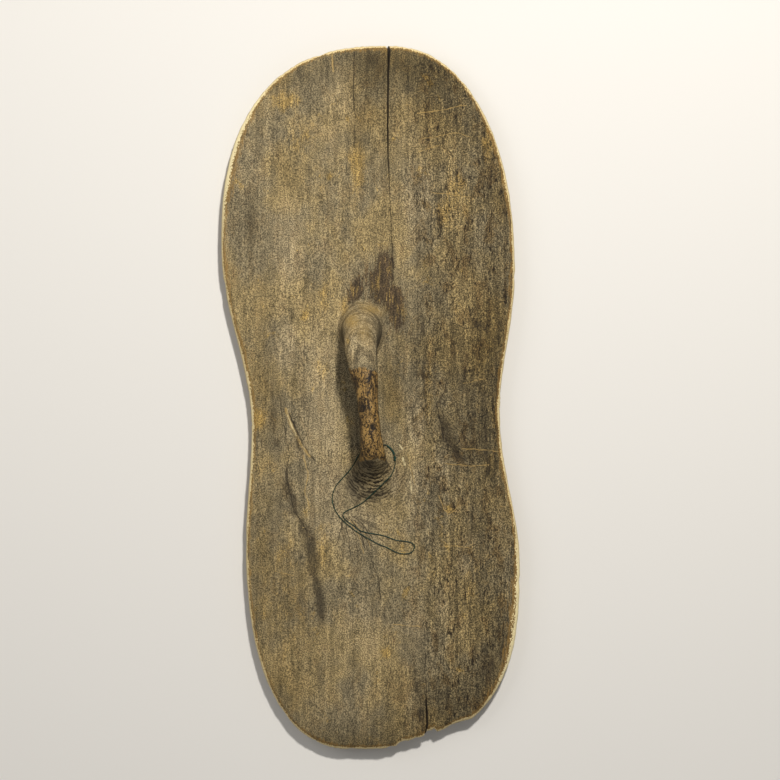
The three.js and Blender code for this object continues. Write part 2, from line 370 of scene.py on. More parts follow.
@dataclass(frozen=True)
class Outline:
    """The board's outline, a waisted oblong with blunt ends."""

    half_length: float = 450 * MM
    top_centre_x: float = 22 * MM
    bottom_centre_x: float = -24 * MM
    left: Side = Side(
        -1, 2.5, Swell(191 * MM, 195 * MM), Swell(152 * MM, -40 * MM), Swell(159 * MM, -190 * MM), 2.28
    )
    right: Side = Side(
        1, 2.2, Swell(184.5 * MM, 160 * MM), Swell(165 * MM, -21 * MM), Swell(191 * MM, -218 * MM), 2.75
    )
    losses: tuple[EdgeLoss, ...] = (
        EdgeLoss(78 * MM, 52 * MM, 8 * MM),
        EdgeLoss(77 * MM, 9 * MM, 6 * MM),
        EdgeLoss(112 * MM, 20 * MM, 2.5 * MM),
        EdgeLoss(40 * MM, 8 * MM, 2.5 * MM),
    )
    corner_y: float = 400 * MM
    losses_below: float = -290 * MM

    def side_x(self, side: Side, y: np.ndarray) -> np.ndarray:
        """The x of a side of the outline at each y."""
        x = side.direction * side.wave(y)
        ends = (
            (y > side.upper.y, side.upper, self.half_length, self.top_centre_x, side.top_roundness),
            (y < side.lower.y, side.lower, -self.half_length, self.bottom_centre_x, side.bottom_roundness),
        )
        for here, swell, end_y, centre_x, roundness in ends:
            q = np.clip((y - swell.y) / (end_y - swell.y), 0.0, 1.0)
            reach = side.direction * swell.out - centre_x
            x = np.where(here, centre_x + reach * (1 - q**roundness) ** (1 / roundness), x)
        return x

    def end_y(self, end: int, x: np.ndarray) -> np.ndarray:
        """The y of the top end, 1, or the bottom end, -1, of the outline at each x."""
        centre_x = self.top_centre_x if end > 0 else self.bottom_centre_x
        y = np.zeros_like(x)
        for side in (self.left, self.right):
            swell = side.upper if end > 0 else side.lower
            roundness = side.top_roundness if end > 0 else side.bottom_roundness
            q = np.clip((x - centre_x) / (side.direction * swell.out - centre_x), 0.0, 1.0)
            height = end * self.half_length - swell.y
            here = (x - centre_x) * side.direction >= 0
            y = np.where(here, swell.y + height * (1 - q**roundness) ** (1 / roundness), y)
        return y

    def edge(self, u: np.ndarray, v: np.ndarray) -> np.ndarray:
        """The outline's points for points on the edge of a square from -1 to 1.

        Args:
            u: Across the square.
            v: Up the square.

        Returns:
            One x, y row a point. The square's sides become the outline's sides and ends, evenly spaced.
        """
        on_side = np.abs(u) >= np.abs(v)
        side_y = v * self.corner_y
        side_x = np.where(u < 0, self.side_x(self.left, side_y), self.side_x(self.right, side_y))
        end_x = np.zeros_like(u)
        end_y = np.zeros_like(u)
        for end in (1, -1):
            corner = np.array([end * self.corner_y])
            low, high = self.side_x(self.left, corner)[0], self.side_x(self.right, corner)[0]
            here = (v * end > 0) & ~on_side
            across = low + (high - low) * (u + 1) / 2
            end_x = np.where(here, across, end_x)
            end_y = np.where(here, self.end_y(end, across), end_y)
        x = np.where(on_side, side_x, end_x)
        y = np.where(on_side, side_y, end_y)
        broken = sum(loss.at(x) for loss in self.losses)
        y = np.where(y < self.losses_below, y + broken, y)
        return np.stack([x, y], axis=1)


# ---- The wood ----


@dataclass
class Board:
    """The board: a sheet over the outline for its back, another for its front, and a rim between them."""

    outline: Outline = field(default_factory=Outline)
    back_cells: tuple[int, int] = (222, 320)
    front_cells: tuple[int, int] = (72, 110)
    rim_cuts: int = 3
    crowding: float = 0.42
    back_z: float = 22 * MM
    dish: float = 3 * MM
    bevel_width: float = 6.5 * MM
    bevel_drop: float = 4.5 * MM
    bevel_power: float = 1.6
    rim_bulge: float = 1.0 * MM
    front_flat_share: float = 0.7
    front_rise: float = 13 * MM
    front_rise_power: float = 1.8
    rim_round: float = 2.5 * MM
    edge_roughness: float = 0.7 * MM
    nibbles: Place = (5, 26, 1000)
    waves: Place = (22, 60, 1000)
    wave_share: float = 0.6
    wear: tuple[Smudge, ...] = smudges(
        (-165, 322, 46, 84, 0.8), (178, -285, 42, 88, 0.7), (-176, -40, 40, 60, 0.35),
    )
    nicks: tuple[Smudge, ...] = smudges(
        (-192, 140, 8, 9, 2.4), (-192, 152, 6, 2.5, -1.6), (185, 155, 5, 4, 1.8), (190, -236, 6, 6, 1.3),
        (-176, -300, 6, 8, 1.3), (118, 408, 8, 6, 1.5), (-64, 441, 6, 8, 1.1), (92, -437, 4, 10, 2.2),
        (58, -446, 5, 10, 2.4), (26, -449, 4, 10, 1.8), (-22, -450, 6, 10, 1.3), (-70, -441, 5, 10, 1.2),
    )
    # The low swellings that carry the grip's roots; their strengths are heights in metres.
    swells: tuple[Smudge, ...] = smudges((-12, 84, 42, 52, 3.5 * MM), (0, -105, 44, 42, 3 * MM))

    def build(self) -> bpy.types.Object:
        """Makes the plain board, before it is carved and worn.

        Returns:
            The board as an object, closed and facing out.
        """
        bm = bmesh.new()
        for (across, along), height in ((self.back_cells, 1.0), (self.front_cells, -1.0)):
            made = bmesh.ops.create_grid(bm, x_segments=across, y_segments=along, size=1.0)
            bmesh.ops.translate(bm, verts=made["verts"], vec=(0.0, 0.0, height))
        borders = [e for e in bm.edges if e.is_boundary]
        bridge = bmesh.ops.bridge_loops(bm, edges=borders)
        upright = {e for f in bridge["faces"] for e in f.edges if not self._is_level(e)}
        bmesh.ops.subdivide_edges(bm, edges=list(upright), cuts=self.rim_cuts)
        mesh = mesh_of("board", bm)
        set_points(mesh, self._laid_out(points_of(mesh)))
        return add_object("board", mesh)

    @staticmethod
    def _is_level(edge: bmesh.types.BMEdge) -> bool:
        """Whether an edge runs round the rim and not across it."""
        return abs(edge.verts[0].co.z - edge.verts[1].co.z) < 0.5

    def _laid_out(self, plain: np.ndarray) -> np.ndarray:
        """Lays the square block's points over the outline.

        Args:
            plain: Points of a block from -1 to 1.

        Returns:
            The same points on the board's surface, in metres.
        """
        squares = np.abs(plain[:, :2])
        crowded = squares + self.crowding * squares * (1 - squares)
        uv = np.sign(plain[:, :2]) * crowded
        share = np.maximum(np.abs(uv).max(axis=1), 1e-9)
        rim = self.outline.edge(uv[:, 0] / share, uv[:, 1] / share)
        radial = np.linalg.norm(rim, axis=1)
        outward = rim / radial[:, None]
        flat = np.column_stack([rim, np.zeros(len(rim))])
        rough = grainy(flat, self.nibbles, 3.0) + self.wave_share * grainy(flat, self.waves, 4.0)
        lost = MM * sum(nick.at(rim) for nick in self.nicks) + 0.5 * self.edge_roughness
        rim = rim + outward * (self.edge_roughness * rough - lost)[:, None]
        xy = rim * share[:, None]
        inset = (1 - share) * radial
        level = plain[:, 2]
        worn = 1 + strongest(self.wear, xy)
        back = self.back_height(xy, share)
        near_rim = np.clip(1 - inset / (self.bevel_width * worn), 0.0, 1.0)
        back -= self.bevel_drop * worn * near_rim**self.bevel_power
        rise = np.clip((share - self.front_flat_share) / (1 - self.front_flat_share), 0.0, 1.0)
        front = self.front_rise * rise**self.front_rise_power
        front += self.rim_round * np.clip(1 - inset / self.bevel_width, 0.0, 1.0) ** 2
        mix = (level + 1) / 2
        xy = xy + outward * (self.rim_bulge * (1 - level**2))[:, None]
        return np.column_stack([xy, front + (back - front) * mix])

    def back_height(self, xy: np.ndarray, share: np.ndarray) -> np.ndarray:
        """The height of the board's back, without the grip.

        Args:
            xy: Places on the board in metres, one a row.
            share: The share of the way from the middle to the outline.

        Returns:
            Heights in metres.
        """
        z = self.back_z + self.dish * share**2
        for swell in self.swells:
            z = z + swell.at(xy)
        return z


@dataclass
class Grip:
    """The grip: a bar between two roots, lofted through its sections."""

    sides: int = 60
    cuts: int = 150
    # Each ring's x and half width, then y and z of its inner and its outer point, in millimetres.
    sections: tuple[tuple[float, ...], ...] = (
        (-12, 34, 42, 9, 127, 9), (-12, 32, 44, 22, 125, 22), (-12, 27, 50, 31, 117, 33),
        (-12, 24.5, 54, 39, 109, 47), (-12, 22.5, 54.5, 47, 98, 61), (-12, 21, 51, 54, 84, 73),
        (-11.5, 20, 44, 59, 66, 81.5), (-9, 18.5, 34, 61, 42, 85.5), (-4, 14, 8, 61.5, 8, 86.5),
        (-1.5, 12.8, -23, 61.5, -23, 86.5), (1, 13.6, -45, 60.5, -47, 86), (2.2, 15, -58, 57.5, -64, 84.5),
        (3, 16, -66, 51.5, -76, 79.5), (3, 17, -70.5, 44, -84.5, 70), (3, 18.5, -73, 37, -92, 56),
        (2.5, 21, -74, 31.5, -101, 43), (1.5, 25, -75, 27, -112, 34), (0.5, 29, -75.5, 24.5, -124, 27.5),
        (0, 33, -76, 21, -134, 21), (0, 34, -76, 9, -136, 9),
    )

    def build(self) -> bpy.types.Object:
        """Makes the grip as a closed solid whose feet are inside the board.

        Returns:
            The grip as an object.
        """
        bm = bmesh.new()
        bmesh.ops.create_cone(
            bm, cap_ends=True, cap_tris=False, segments=self.sides, radius1=1.0, radius2=1.0, depth=2.0
        )
        along = [e for e in bm.edges if abs(e.verts[0].co.z - e.verts[1].co.z) > 1.0]
        bmesh.ops.subdivide_edges(bm, edges=along, cuts=self.cuts)
        mesh = mesh_of("grip", bm)
        plain = points_of(mesh)
        share = (1 - plain[:, 2]) / 2
        x, half_width, inner_y, inner_z, outer_y, outer_z = catmull_rom(np.array(self.sections) * MM, share).T
        inner = np.column_stack([x, inner_y, inner_z])
        outer = np.column_stack([x, outer_y, outer_z])
        places = inner + (outer - inner) * ((1 + plain[:, 1]) / 2)[:, None]
        places[:, 0] += half_width * plain[:, 0]
        set_points(mesh, places)
        bm = bmesh.new()
        bm.from_mesh(mesh)
        bmesh.ops.triangulate(bm, faces=[f for f in bm.faces if len(f.verts) > 4])
        bmesh.ops.recalc_face_normals(bm, faces=bm.faces)
        bm.to_mesh(mesh)
        bm.free()
        return add_object("grip", mesh)


@dataclass
class Crack:
    """A drying crack right through the board, from points of x, y and half its width, in millimetres."""

    name: str
    points: tuple[tuple[float, float, float], ...]
    steps: int = 60
    least_half: float = 0.08 * MM
    drift_pitch: Place = (1000, 14, 1000)
    floor: float = -10 * MM
    height: float = 60 * MM
    surface: float = 24 * MM
    lean: float = 0.45
    wander: float = 0.5 * MM

    def build(self) -> bpy.types.Object:
        """Makes the solid that is cut out of the board.

        Returns:
            A closed wedge, as an object.
        """
        fine = catmull_rom(np.array(self.points) * MM, np.linspace(0.0, 1.0, self.steps))
        flat = np.column_stack([fine[:, :2], np.zeros(len(fine))])
        drift = self.wander * grainy(flat, self.drift_pitch, 8.0)
        half = np.maximum(fine[:, 2], self.least_half)
        bm = bmesh.new()
        rings = []
        for sign in (-1, 1):
            x = fine[:, 0] + drift + sign * half - self.lean * (self.surface - self.floor)
            rings.append([bm.verts.new((px, py, self.floor)) for px, py in zip(x, fine[:, 1])])
        for verts in rings:
            for a, b in zip(verts, verts[1:]):
                bm.edges.new((a, b))
        bmesh.ops.bridge_loops(bm, edges=bm.edges[:])
        raised = bmesh.ops.extrude_face_region(bm, geom=bm.faces[:])
        lifted = [g for g in raised["geom"] if isinstance(g, bmesh.types.BMVert)]
        bmesh.ops.translate(bm, verts=lifted, vec=(self.lean * self.height, 0.0, self.height))
        made = add_object(self.name, mesh_of(self.name, bm))
        # The wedge's faces mark the crack walls, which are painted near black as shade.
        mark_faces(made.data, 1.0)
        return made


@dataclass
class Relief:
    """The surface of the wood: the carver's unevenness, open grain, gouges, furrows, chips and rings."""

    unevenness: float = 0.9 * MM
    grain_depth: float = 0.5 * MM
    root_hollows: float = 0.55 * MM
    bar_pits: float = 0.55 * MM
    ring_depth: float = 0.45 * MM
    ring_pitch: float = 5.2 * MM
    lower_root: Smudge = Smudge(4, -104, 34, 34)
    ring_centre: tuple[float, float] = (4 * MM, -58 * MM)
    chip_depth: float = 1.5 * MM
    furrow_gain: float = 1.7
    ridge_gain: float = 1.4
    chips: tuple[Smudge, ...] = smudges(
        (39, -65, 3, 4), (43, -84, 3.2, 5), (46, -97, 2.2, 6), (52, -113, 2.4, 6), (94, 315, 2.6, 4),
        (75, 284, 2, 5), (-84, 8, 3, 5, 0.5), (140, 93, 5, 3, 0.4), (70, -392, 2.5, 12, 0.7),
    )
    ridges: tuple[Line, ...] = lines(
        (3.6, 1, (-109, -16), (-100, -36), (-91, -55), (-77, -78)),
        (3.4, 0.8, (99, -30), (103, -50), (116, -62), (126, -68)),
        (4, 0.7, (40, -58), (46, -84), (55, -112), (52, -128)),
        (2.6, 0.9, (76, -384), (77, -410), (78, -438)),
    )

    def shape(self, body: bpy.types.Object) -> None:
        """Moves the wood's surface in and out along its normals."""
        mesh = body.data
        places = points_of(mesh)
        normals = points_of(mesh, "normal")
        level = smooth_step(0.2, 0.8, np.abs(normals[:, 2]))
        on_grip = smooth_step(27 * MM, 34 * MM, places[:, 2])
        on_bar = smooth_step(*BAR_FOOT, places[:, 2])
        on_back = smooth_step(12 * MM, 18 * MM, places[:, 2]) * (normals[:, 2] > 0)
        right = smooth_step(-20 * MM, 110 * MM, places[:, 0])
        coarse = grainy(places, (70, 130, 70), 1.0, 2)
        strokes = grainy(places, (20, 75, 30), 2.0, 2)
        grain = grainy(places, (6.5, 70, 14), 5.0, 3)
        lumps = grainy(places, (9, 15, 9), 11.0, 2)
        hollows = grainy(places, (9, 11, 7), 6.0, 2)
        pits = grainy(places, (4, 7, 4), 7.0, 2)
        move = self.unevenness * (0.7 * coarse + 0.5 * strokes) * level * (1 - 0.5 * on_grip)
        fibres = grain * (0.5 + 0.9 * right) + lumps * (0.3 + 0.7 * right)
        move += self.grain_depth * fibres * level * (1 - on_grip)
        move += self.root_hollows * hollows * on_grip
        move -= self.bar_pits * smooth_step(0.25, 0.6, pits) * on_bar
        move += self._rings(places) * (1 - on_bar)
        uneven = wandering(places, WANDER, 12.0)
        for furrow in FURROWS:
            move -= self.furrow_gain * furrow.depth * MM * furrow.at(uneven) * on_back
        for ridge in self.ridges:
            move += self.ridge_gain * ridge.depth * MM * ridge.at(uneven) * on_back
        move -= self.chip_depth * strongest(self.chips, uneven) * on_back
        resting = (places[:, 2] < 0.4 * MM) & (normals[:, 2] < 0)
        set_points(mesh, places + normals * np.where(resting, 0.0, move)[:, None])

    def _rings(self, places: np.ndarray) -> np.ndarray:
        """The low steps of the growth rings round the lower root."""
        away = np.hypot(places[:, 0] - self.ring_centre[0], places[:, 1] - self.ring_centre[1])
        sway = 2.5 * MM * grainy(places, (16, 16, 30), 14.0, 2)
        steps = np.sin((away + sway) * 2 * math.pi / self.ring_pitch)
        return self.ring_depth * steps * self.lower_root.at(places)


def soften(body: bpy.types.Object, spots: Iterable[Smudge], rounds: int) -> None:
    """Smooths the wood where the grip's roots run out into the board.

    Args:
        body: The object to smooth.
        spots: Where, as patches; a point is smoothed where one is over a half.
        rounds: How many times.
    """
    bm = bmesh.new()
    bm.from_mesh(body.data)
    places = np.array([v.co for v in bm.verts])
    low, high = ROOT_FEET
    chosen = (strongest(spots, places) > 0.5) & (places[:, 2] > low) & (places[:, 2] < high)
    bm.verts.ensure_lookup_table()
    verts = [bm.verts[i] for i in np.flatnonzero(chosen)]
    for _ in range(rounds):
        bmesh.ops.smooth_vert(
            bm, verts=verts, factor=0.5, use_axis_x=True, use_axis_y=True, use_axis_z=True
        )
    bm.to_mesh(body.data)
    bm.free()


# ---- Finishes ----

Socket = bpy.types.NodeSocket


class Graph:
    """Builds a material's nodes, one short call each.

    Each node is made after the nodes that feed it. They are worked out in the order that they are made in,
    and one that comes too early keeps other values waiting, until a long shader runs out of room.
    """

    GIVES_NUMBER = ("LENGTH", "DISTANCE", "DOT_PRODUCT")

    def __init__(self, name: str) -> None:
        """Starts an empty material with that name."""
        self.material = bpy.data.materials.new(name)
        self.material.use_nodes = True
        self.tree = self.material.node_tree
        self.tree.nodes.clear()
        self.output = self.add("ShaderNodeOutputMaterial")
        self.surface = self.add("ShaderNodeBsdfPrincipled")
        self.tree.links.new(self.surface.outputs[0], self.output.inputs["Surface"])

    def add(self, kind: str, **settings: object) -> bpy.types.Node:
        """A new node of that kind with those settings."""
        node = self.tree.nodes.new(kind)
        for name, value in settings.items():
            setattr(node, name, value)
        return node

    def feed(self, socket: Socket, value: object) -> None:
        """Links an output to a socket, or sets the socket to a plain value."""
        if isinstance(value, Socket):
            self.tree.links.new(value, socket)
        elif isinstance(value, tuple) and len(value) == 3 and len(socket.default_value) == 4:
            socket.default_value = (*value, 1.0)
        else:
            socket.default_value = value

    def math(self, operation: str, a: object, b: object = 0.0) -> Socket:
        """One sum of two values."""
        node = self.add("ShaderNodeMath", operation=operation)
        self.feed(node.inputs[0], a)
        self.feed(node.inputs[1], b)
        return node.outputs[0]

    def times(self, *values: object) -> Socket:
        """The product of several values."""
        product = values[0]
        for value in values[1:]:
            product = self.math("MULTIPLY", product, value)
        return product

    def torn(self, mask: object, *noises: tuple[Socket, float]) -> Socket:
        """A mask whose edge is torn by each of several noises, at its strength."""
        for noise_value, amount in noises:
            mask = self.math("ADD", mask, self.times(self.math("SUBTRACT", noise_value, 0.5), amount))
        return mask

    def spread(
        self, value: object, low: float, high: float, to_low: object = 0.0, to_high: object = 1.0
    ) -> Socket:
        """Stretches a value from one range to another, clamped and eased."""
        node = self.add("ShaderNodeMapRange", interpolation_type="SMOOTHSTEP")
        for index, number in enumerate((value, low, high, to_low, to_high)):
            self.feed(node.inputs[index], number)
        return node.outputs[0]

    def between(self, share: object, low: float, high: float) -> Socket:
        """A number that goes from low to high as a share goes from 0 to 1."""
        return self.spread(share, 0.0, 1.0, low, high)

    def mix(self, share: object, a: object, b: object, blend: str = "MIX") -> Socket:
        """Two colours mixed by a share."""
        node = self.add("ShaderNodeMix", data_type="RGBA", blend_type=blend)
        self.feed(node.inputs[0], share)
        self.feed(node.inputs[6], a)
        self.feed(node.inputs[7], b)
        return node.outputs[2]

    def cover(
        self, colour: Socket, ink: Colour, value: object, low: float, high: float, most: float = 1.0
    ) -> Socket:
        """Lays an ink over a colour, from none where a value is low to the most of it where it is high."""
        return self.mix(self.spread(value, low, high, 0.0, most), colour, ink)

    def darken(self, colour: Socket, *factors: Socket) -> Socket:
        """A colour multiplied by each of several brightnesses."""
        for factor in factors:
            colour = self.mix(1.0, colour, factor, "MULTIPLY")
        return colour

    def mapped(self, vector: object, scale: Place, shift: Place = (0.0, 0.0, 0.0)) -> Socket:
        """A vector scaled and shifted."""
        node = self.add("ShaderNodeMapping")
        self.feed(node.inputs["Vector"], vector)
        node.inputs["Scale"].default_value = scale
        node.inputs["Location"].default_value = shift
        return node.outputs[0]

    def noise(
        self, vector: object, scale: Place, detail: float = 3.0, roughness: float = 0.6, bend: float = 0.0
    ) -> Socket:
        """Fractal noise, from 0 to 1.

        Args:
            vector: Where it is read.
            scale: How many of its lumps go into a metre each way.
            detail: How many finer layers it has.
            roughness: How strong the finer layers are.
            bend: How far it is distorted.

        Returns:
            The noise's value.
        """
        stretched = self.mapped(vector, scale, (scale[0] * 0.13, scale[1] * 0.07, 3.7))
        node = self.add("ShaderNodeTexNoise")
        self.feed(node.inputs["Vector"], stretched)
        settings = {"Scale": 1.0, "Detail": detail, "Roughness": roughness, "Distortion": bend}
        for name, value in settings.items():
            node.inputs[name].default_value = value
        return node.outputs["Fac"]

    def arrow(self, operation: str, a: object, b: object = None) -> Socket:
        """One sum of vectors, as the vector that it gives, or as the number where it gives one."""
        node = self.add("ShaderNodeVectorMath", operation=operation)
        self.feed(node.inputs[0], a)
        if b is not None:
            self.feed(node.inputs[1], b)
        return node.outputs["Value" if operation in self.GIVES_NUMBER else "Vector"]

    def wave(self, radius: Socket, pitch: float) -> Socket:
        """A wave from -1 to 1 along a radius."""
        return self.math("SINE", self.times(radius, 2 * math.pi / pitch))

    def mask(self, mask: Mask) -> Socket:
        """A mask that is stored on the mesh."""
        return self.add("ShaderNodeAttribute", attribute_name=mask.value).outputs["Fac"]

    def bump(self, height: object, distance: float, strength: float = 1.0) -> None:
        """Gives the surface that height, in metres at most distance."""
        node = self.add("ShaderNodeBump")
        node.inputs["Strength"].default_value = strength
        node.inputs["Distance"].default_value = distance
        self.feed(node.inputs["Height"], height)
        self.tree.links.new(node.outputs[0], self.surface.inputs["Normal"])


@dataclass(frozen=True)
class WeatheredWood:
    """Dry old carved wood: grey-brown and upright in grain, with growth rings, stains and worn edges, and
    with painted shade on the grip's steep sides, at the roots' feet, beside the bar and in the cracks, and a
    painted highlight on the most worn rim.
    """

    grey: Colour = shade(134, 121, 93)
    taupe: Colour = shade(133, 116, 80)
    pale: Colour = shade(156, 140, 108)
    brown: Colour = shade(96, 79, 50)
    dark: Colour = shade(40, 32, 21)
    gold: Colour = shade(160, 132, 74)
    # Cream of bare wood for chips, and a painted highlight on the most worn rim.
    fresh: Colour = shade(238, 222, 174)
    rim: Colour = shade(186, 154, 92)
    edge: Colour = shade(138, 106, 54)
    stain: Colour = shade(62, 48, 34)
    # The warm tint that the shade patches multiply by, the bar's painted shadow among them.
    umber_shade: Colour = shade(189, 182, 160)
    patina: Colour = shade(86, 65, 34)
    patina_light: Colour = shade(163, 129, 73)
    patina_dark: Colour = shade(24, 17, 9)
    # Soot black for grime, grain lines and hairlines, and also painted shade in the cracks and at the roots'
    # feet.
    soot_and_shade: Colour = shade(36, 29, 20)
    specular: float = 0.3
    bump_height: float = 0.9 * MM
    bump_strength: float = 0.8
    pith: Place = (-0.045, 0.0, -0.30)
    ring_pitch: float = 4.2 * MM
    arc_centre: Place = (0.004, -0.070, 0.0)
    arc_pitch: float = 4.4 * MM
    fan_root: Place = (-0.043, -0.139, 0.0)
    hairlines: tuple[Line, ...] = lines(
        (0.9, (-21, 440), (-22, 398), (-20, 362), (-21, 322)), (0.5, (104, 96), (122, 88), (139, 92)),
        (0.5, (-118, 10), (-112, -30), (-104, -70), (-107, -95)),
        (0.6, (72, -376), (69, -350), (71, -322)), (0.5, (28, 198), (29, 150)),
        (0.9, (-104, -20), (-97, -39), (-87, -58), (-73, -80)),
        (0.6, (-109, -96), (-102, -126), (-97, -146), (-87, -160), (-80, -174)),
        (0.6, (85, -6), (90, -38), (94, -55), (105, -64), (113, -75), (124, -82)),
        (0.6, (-24, -150), (-8, -164), (4, -184)), (0.6, (-28, -152), (-13, -172), (-6, -196)),
        (0.6, (-31, -154), (-20, -176), (-15, -206)), (0.5, (-34, -156), (-28, -178), (-26, -200)),
        (0.5, (-36, -152), (-39, -172), (-44, -190)), (0.7, (-2, -200), (10, -232), (14, -262)),
    )
    scratches: tuple[Line, ...] = lines(
        (0.6, (59, 363), (92, 368), (123, 374)), (0.5, (62, 315), (88, 322)),
        (0.4, (62, 330), (110, 339), (128, 333)), (0.6, (117, -65), (170, -69)),
        (0.5, (96, -85), (124, -88), (152, -86)), (0.6, (87, -124), (94, -143), (103, -148), (113, -138)),
        (0.5, (89, -190), (126, -191)), (0.6, (28, -291), (64, -293)), (1, (-49, 438), (-48, 417)),
        (0.4, (80, 262), (128, 257)), (0.4, (-122, -222), (-98, -228)), (0.5, (119, 18), (148, 24)),
        (0.8, (12, -334), (24, -318)), (1.7, (-109, -14), (-102, -34), (-93, -54), (-78, -75)),
        (0.8, (-86, -74), (-80, -96), (-84, -120), (-78, -142)),
        (0.5, (-26, -156), (-14, -180), (-9, -200)), (0.4, (-22, -158), (-6, -176), (1, -194)),
        (0.4, (48, -72), (56, -110)),
    )
    bare_chips: tuple[Line, ...] = lines(
        (0.6, (-106, -22), (-101, -36), (-95, -49)), (1.3, (41, -78), (44, -86)),
        (1, (37, -60), (41, -66)), (0.8, (50, -108), (53, -118)),
    )

    def build(self) -> bpy.types.Material:
        """Makes the finish.

        Returns:
            The material.
        """
        g = Graph("weathered_wood")
        at = g.add("ShaderNodeTexCoord").outputs["Object"]
        rough = g.mask(Mask.ROUGH)
        cloud = g.noise(at, (14.0, 9.0, 14.0), 3.0)
        mottle = g.noise(at, (66.0, 36.0, 66.0), 5.0, 0.68, 0.5)
        blot = g.noise(at, (43.0, 31.0, 43.0), 5.0, 0.72, 0.3)
        streak = g.noise(at, (160.0, 9.0, 90.0), 4.0, 0.6, 0.3)
        fibre = g.noise(at, (430.0, 50.0, 300.0), 3.0, 0.6, 0.4)
        grit = g.noise(at, (600.0, 400.0, 600.0), 1.0, 0.6)
        speck = g.noise(at, (820.0, 640.0, 820.0), 0.0)
        dash = g.noise(at, (340.0, 96.0, 280.0), 4.0, 0.7, 0.5)

        # The wood's own colours, and what has soaked into it.
        colour = g.mix(g.spread(cloud, 0.4, 0.6), self.grey, self.taupe)
        colour = g.cover(colour, self.pale, g.torn(g.mask(Mask.PALE), (mottle, 1.2)), 0.1, 1.2, 0.95)
        colour = g.mix(g.times(g.spread(mottle, 0.47, 0.63), g.between(rough, 0.42, 0.9)), colour, self.brown)
        gilt = g.torn(g.mask(Mask.GOLD), (blot, 1.3), (fibre, 0.6))
        gilt = g.math("MAXIMUM", gilt, g.spread(blot, 0.56, 0.72, 0.0, 0.75))
        colour = g.cover(colour, self.gold, gilt, 0.2, 0.8, 0.75)
        stain = g.torn(g.mask(Mask.STAIN), (fibre, 1.5), (mottle, 1.0), (grit, 0.6))
        colour = g.cover(colour, self.stain, stain, 0.22, 0.46, 0.86)
        threads = g.times(g.mask(Mask.STAIN), g.spread(fibre, 0.55, 0.62), g.spread(dash, 0.4, 0.5))
        colour = g.mix(g.times(threads, 0.6), colour, self.gold)

        # Its texture, stronger where it is rough.
        colour = g.darken(
            colour,
            g.spread(grit, 0.34, 0.66, g.between(rough, 0.86, 0.64), g.between(rough, 1.12, 1.3)),
            g.spread(speck, 0.3, 0.7, g.between(rough, 0.5, 0.42), 1.56),
            g.spread(fibre, 0.3, 0.7, g.between(rough, 0.8, 0.66), 1.22),
            g.spread(streak, 0.3, 0.7, g.between(rough, 0.8, 0.6), 1.2),
            g.spread(mottle, 0.32, 0.68, 0.7, 1.28),
            g.spread(cloud, 0.36, 0.64, 0.8, 1.2),
        )
        flakes = g.times(g.spread(grit, 0.54, 0.62), g.spread(blot, 0.5, 0.58), g.mask(Mask.GOLD))
        colour = g.mix(g.times(flakes, 0.7), colour, self.rim)
        flecks = g.times(g.spread(dash, 0.56, 0.62), g.between(rough, 0.24, 0.98))
        flecks = g.times(flecks, g.spread(mottle, 0.36, 0.54, 0.35, 1.0))
        colour = g.mix(flecks, colour, self.dark)

        # Shade, grime and rings, laid over the texture; at the roots' feet the grime is painted shade.
        # Darker tone in wide patches, and a painted shadow just right of the bar.
        colour = g.mix(g.spread(g.mask(Mask.SHADE), 0.0, 1.0), colour, self.umber_shade, "MULTIPLY")
        # Grime, and painted shade under the bar's end and at the roots' feet.
        grime = g.torn(g.mask(Mask.GRIME_AND_SHADE), (mottle, 0.8), (grit, 0.7))
        colour = g.cover(colour, self.soot_and_shade, grime, 0.26, 0.8, 0.66)
        colour = g.mix(g.times(g.mask(Mask.FAN), self._rays(g, at), 0.65), colour, self.soot_and_shade)
        arcs = g.times(g.mask(Mask.ARC), self._arcs(g, at))
        colour = g.mix(arcs, colour, self.dark)
        between_arcs = g.times(g.mask(Mask.ARC), g.spread(arcs, 0.0, 0.2, 0.4, 0.0))
        colour = g.mix(between_arcs, colour, self.pale)
        rings = g.times(g.mask(Mask.ROOT), self._rings(g, at))
        colour = g.mix(rings, colour, self.dark)
        colour = g.mix(g.times(g.mask(Mask.OCHRE), g.spread(grit, 0.35, 0.6, 0.45, 0.95)), colour, self.gold)
        colour = self._polished(g, at, colour)
        # Painted shade: the grip's steep sides are darkened.
        colour = g.darken(colour, g.between(g.mask(Mask.STEEP_SHADE), 1.0, 0.42))

        # The worn rim, from its tan border to the bare wood, with a painted highlight in cream where it is
        # most worn.
        tan = g.torn(g.mask(Mask.EDGE), (fibre, 1.4), (dash, 1.0))
        colour = g.cover(colour, self.edge, tan, 0.4, 0.9, 0.7)
        worn = g.torn(g.mask(Mask.RIM), (grit, 1.6), (fibre, 1.0))
        colour = g.cover(colour, self.rim, worn, 0.42, 0.6, 0.85)
        # Painted highlight: cream on the most worn rim, where it catches the light.
        bare_rim_highlight = g.times(g.spread(worn, 0.5, 0.7), g.spread(g.mask(Mask.BARE_AND_HIGHLIGHT), 0.0, 0.45, 0.6, 1.0))
        colour = g.mix(bare_rim_highlight, colour, self.fresh)
        colour = g.darken(colour, g.spread(g.mask(Mask.RIM), 1.1, 1.2, 1.0, 0.8))

        # Thin marks, and painted shade on the walls of the cracks.
        for marks, ink, strength in (
            (self.hairlines, self.soot_and_shade, 0.8),
            (self.scratches, self.rim, 0.5),
            (self.bare_chips, self.fresh, 0.6),
        ):
            colour = g.mix(g.times(self._drawn(g, at, marks), strength), colour, ink)
